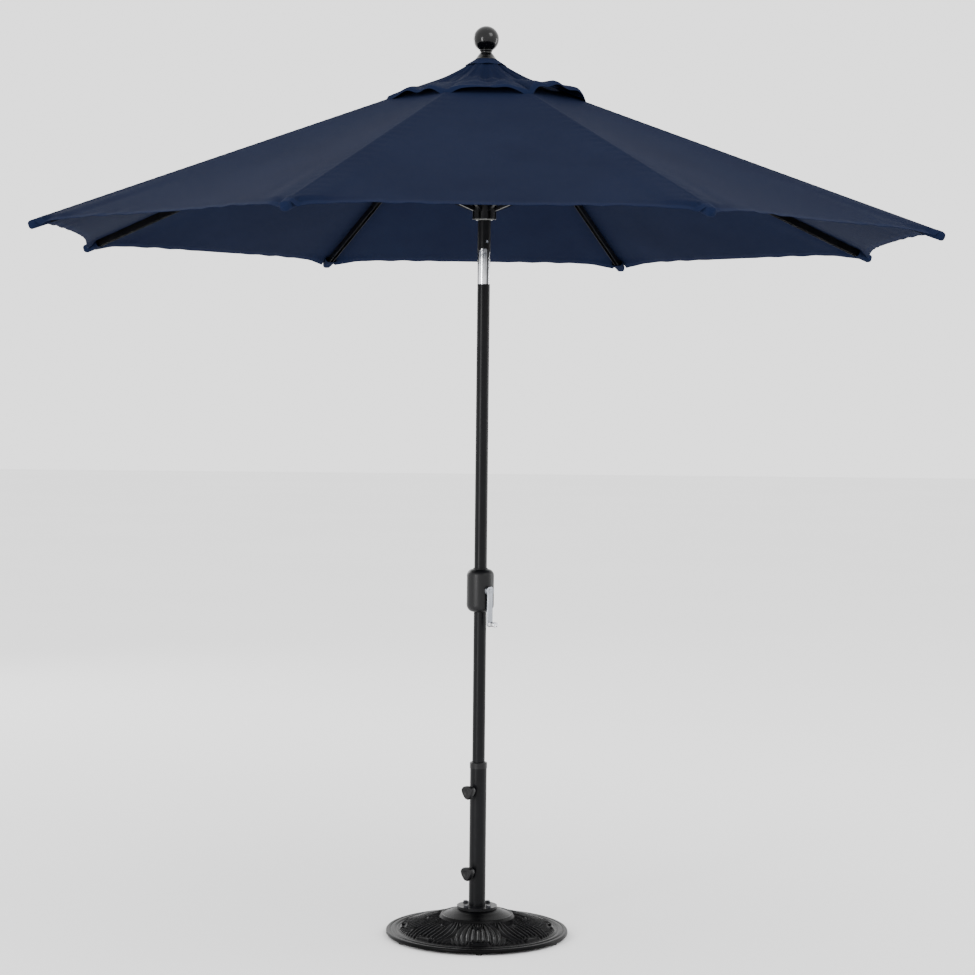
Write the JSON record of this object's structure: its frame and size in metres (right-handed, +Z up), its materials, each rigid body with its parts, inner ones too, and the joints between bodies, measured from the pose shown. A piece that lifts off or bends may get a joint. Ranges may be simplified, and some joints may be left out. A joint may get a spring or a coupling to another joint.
{
  "type": "patio umbrella with base",
  "caption": "Round vented canvas patio umbrella on a crank mast with a tilting, folding frame, standing in a round cast base with a clamped stem.",
  "frame": {"origin": "on the floor under the mast's axis, at the centre of the base", "axes": "+Z up along the mast; +X the way the canopy tilts; the ribs stand at 22.5 degrees and every 45 degrees from +X"},
  "size_m": [2.4954, 2.4954, 2.697],
  "materials": {
    "cast_black": "satin",
    "frame_black": "satin",
    "chrome": "polished",
    "bright_steel": "satin",
    "black_plastic": "matte",
    "gloss_black": "gloss",
    "white_plastic": "satin",
    "foot_rubber": "matte",
    "navy_canvas": "matte",
    "cord_white": "matte"
  },
  "bodies": {
    "base": {"base_plate": "cast_black", "base_feet": "foot_rubber", "stem_flange": "frame_black", "flange_bolts": "bright_steel", "stem_tube": "frame_black", "stem_cap": "black_plastic"},
    "upper_knob": {"knob_upper": "black_plastic"},
    "lower_knob": {"knob_lower": "black_plastic"},
    "mast_foot": {"mast_plug": "white_plastic"},
    "mast": {"mast_lower": "frame_black", "mast_middle": "frame_black", "housing_front": "black_plastic", "housing_rear": "black_plastic", "housing_screws": "bright_steel", "brake_spring": "bright_steel", "tilt_socket": "chrome", "tilt_pins": "bright_steel", "lift_cord_lower": "cord_white"},
    "crank": {"crank_spindle": "bright_steel", "cord_drum": "white_plastic", "crank_arm": "chrome", "arm_screw": "bright_steel"},
    "grip": {"crank_grip": "chrome"},
    "top": {"tilt_knuckle": "frame_black", "knuckle_rivets": "bright_steel", "mast_upper": "frame_black", "top_hub": "black_plastic", "hub_ring": "bright_steel", "sheave_pin": "bright_steel", "finial": "gloss_black", "vent_cap": "navy_canvas", "lift_cord_upper": "cord_white"},
    "cord_sheave": {"sheave": "white_plastic"},
    "slider": {"runner": "black_plastic", "runner_bush": "white_plastic", "lift_cord_drop": "cord_white"},
    "rib_1": {"rib_1": "frame_black", "canopy_1": "navy_canvas"},
    "strut_1": {"strut_1": "frame_black"},
    "rib_2": {"rib_2": "frame_black", "canopy_2": "navy_canvas"},
    "strut_2": {"strut_2": "frame_black"},
    "rib_3": {"rib_3": "frame_black", "canopy_3": "navy_canvas"},
    "strut_3": {"strut_3": "frame_black"},
    "rib_4": {"rib_4": "frame_black", "canopy_4": "navy_canvas"},
    "strut_4": {"strut_4": "frame_black"},
    "rib_5": {"rib_5": "frame_black", "canopy_5": "navy_canvas"},
    "strut_5": {"strut_5": "frame_black"},
    "rib_6": {"rib_6": "frame_black", "canopy_6": "navy_canvas"},
    "strut_6": {"strut_6": "frame_black"},
    "rib_7": {"rib_7": "frame_black", "canopy_7": "navy_canvas"},
    "strut_7": {"strut_7": "frame_black"},
    "rib_8": {"rib_8": "frame_black", "canopy_8": "navy_canvas"},
    "strut_8": {"strut_8": "frame_black"}
  },
  "joints": [
    {"name": "mast_lift", "type": "slide", "parent": "base", "child": "mast_foot", "axis": [0, 0, 1], "range_m": [0, 0.42]},
    {"name": "mast_turn", "type": "hinge", "parent": "mast_foot", "child": "mast", "pos_m": [0, 0, 0.1], "axis": [0, 0, 1], "continuous": true},
    {"name": "upper_knob_turn", "type": "hinge", "parent": "base", "child": "upper_knob", "pos_m": [0, 0, 0.434], "axis": [-0.6018, -0.7986, 0], "continuous": true},
    {"name": "lower_knob_turn", "type": "hinge", "parent": "base", "child": "lower_knob", "pos_m": [0, 0, 0.191], "axis": [-0.6018, -0.7986, 0], "continuous": true},
    {"name": "canopy_tilt", "type": "hinge", "parent": "mast", "child": "top", "pos_m": [0, 0, 2.024], "axis": [0, 1, 0], "range_deg": [0, 30]},
    {"name": "runner_slide", "type": "slide", "parent": "top", "child": "slider", "axis": [0, 0, 1], "range_m": [-0.7214, 0], "deforming": ["lift_cord_drop", "vent_cap", "canopy_1", "canopy_2", "canopy_3", "canopy_4", "canopy_5", "canopy_6", "canopy_7", "canopy_8"]},
    {"name": "crank_turn", "type": "hinge", "parent": "mast", "child": "crank", "pos_m": [0, 0, 1.033], "axis": [0.5446, -0.8387, 0], "range_deg": [-2902, 1]},
    {"name": "grip_turn", "type": "hinge", "parent": "crank", "child": "grip", "pos_m": [0.03812, -0.05871, 0.935], "axis": [0.5446, -0.8387, 0], "continuous": true},
    {"name": "sheave_turn", "type": "hinge", "parent": "top", "child": "cord_sheave", "pos_m": [0.016, 0, 2.505], "axis": [0, 1, 0], "range_deg": [-3759, 1]},
    {"name": "rib_1_fold", "type": "hinge", "parent": "top", "child": "rib_1", "pos_m": [0.02772, 0.01148, 2.553], "axis": [-0.3827, 0.9239, 0], "range_deg": [0, 65.4]},
    {"name": "strut_1_fold", "type": "hinge", "parent": "rib_1", "child": "strut_1", "pos_m": [0.51169, 0.21195, 2.35505], "axis": [-0.3827, 0.9239, 0], "range_deg": [-130.7, 0]},
    {"name": "rib_2_fold", "type": "hinge", "parent": "top", "child": "rib_2", "pos_m": [0.01148, 0.02772, 2.553], "axis": [-0.9239, 0.3827, 0], "range_deg": [0, 65.4]},
    {"name": "strut_2_fold", "type": "hinge", "parent": "rib_2", "child": "strut_2", "pos_m": [0.21195, 0.51169, 2.35505], "axis": [-0.9239, 0.3827, 0], "range_deg": [-130.7, 0]},
    {"name": "rib_3_fold", "type": "hinge", "parent": "top", "child": "rib_3", "pos_m": [-0.01148, 0.02772, 2.553], "axis": [-0.9239, -0.3827, 0], "range_deg": [0, 65.4]},
    {"name": "strut_3_fold", "type": "hinge", "parent": "rib_3", "child": "strut_3", "pos_m": [-0.21195, 0.51169, 2.35505], "axis": [-0.9239, -0.3827, 0], "range_deg": [-130.7, 0]},
    {"name": "rib_4_fold", "type": "hinge", "parent": "top", "child": "rib_4", "pos_m": [-0.02772, 0.01148, 2.553], "axis": [-0.3827, -0.9239, 0], "range_deg": [0, 65.4]},
    {"name": "strut_4_fold", "type": "hinge", "parent": "rib_4", "child": "strut_4", "pos_m": [-0.51169, 0.21195, 2.35505], "axis": [-0.3827, -0.9239, 0], "range_deg": [-130.7, 0]},
    {"name": "rib_5_fold", "type": "hinge", "parent": "top", "child": "rib_5", "pos_m": [-0.02772, -0.01148, 2.553], "axis": [0.3827, -0.9239, 0], "range_deg": [0, 65.4]},
    {"name": "strut_5_fold", "type": "hinge", "parent": "rib_5", "child": "strut_5", "pos_m": [-0.51169, -0.21195, 2.35505], "axis": [0.3827, -0.9239, 0], "range_deg": [-130.7, 0]},
    {"name": "rib_6_fold", "type": "hinge", "parent": "top", "child": "rib_6", "pos_m": [-0.01148, -0.02772, 2.553], "axis": [0.9239, -0.3827, 0], "range_deg": [0, 65.4]},
    {"name": "strut_6_fold", "type": "hinge", "parent": "rib_6", "child": "strut_6", "pos_m": [-0.21195, -0.51169, 2.35505], "axis": [0.9239, -0.3827, 0], "range_deg": [-130.7, 0]},
    {"name": "rib_7_fold", "type": "hinge", "parent": "top", "child": "rib_7", "pos_m": [0.01148, -0.02772, 2.553], "axis": [0.9239, 0.3827, 0], "range_deg": [0, 65.4]},
    {"name": "strut_7_fold", "type": "hinge", "parent": "rib_7", "child": "strut_7", "pos_m": [0.21195, -0.51169, 2.35505], "axis": [0.9239, 0.3827, 0], "range_deg": [-130.7, 0]},
    {"name": "rib_8_fold", "type": "hinge", "parent": "top", "child": "rib_8", "pos_m": [0.02772, -0.01148, 2.553], "axis": [0.3827, 0.9239, 0], "range_deg": [0, 65.4]},
    {"name": "strut_8_fold", "type": "hinge", "parent": "rib_8", "child": "strut_8", "pos_m": [0.51169, -0.21195, 2.35505], "axis": [0.3827, 0.9239, 0], "range_deg": [-130.7, 0]}
  ],
  "couplings": [
    {"joint": "crank_turn", "follows": "runner_slide", "rad_per_m": 70.175},
    {"joint": "sheave_turn", "follows": "runner_slide", "rad_per_m": 90.909},
    {"joint": "rib_1_fold", "follows": "runner_slide", "rad_per_m": -1.5798},
    {"joint": "strut_1_fold", "follows": "runner_slide", "rad_per_m": 3.1597},
    {"joint": "rib_2_fold", "follows": "runner_slide", "rad_per_m": -1.5798},
    {"joint": "strut_2_fold", "follows": "runner_slide", "rad_per_m": 3.1597},
    {"joint": "rib_3_fold", "follows": "runner_slide", "rad_per_m": -1.5798},
    {"joint": "strut_3_fold", "follows": "runner_slide", "rad_per_m": 3.1597},
    {"joint": "rib_4_fold", "follows": "runner_slide", "rad_per_m": -1.5798},
    {"joint": "strut_4_fold", "follows": "runner_slide", "rad_per_m": 3.1597},
    {"joint": "rib_5_fold", "follows": "runner_slide", "rad_per_m": -1.5798},
    {"joint": "strut_5_fold", "follows": "runner_slide", "rad_per_m": 3.1597},
    {"joint": "rib_6_fold", "follows": "runner_slide", "rad_per_m": -1.5798},
    {"joint": "strut_6_fold", "follows": "runner_slide", "rad_per_m": 3.1597},
    {"joint": "rib_7_fold", "follows": "runner_slide", "rad_per_m": -1.5798},
    {"joint": "strut_7_fold", "follows": "runner_slide", "rad_per_m": 3.1597},
    {"joint": "rib_8_fold", "follows": "runner_slide", "rad_per_m": -1.5798},
    {"joint": "strut_8_fold", "follows": "runner_slide", "rad_per_m": 3.1597}
  ]
}
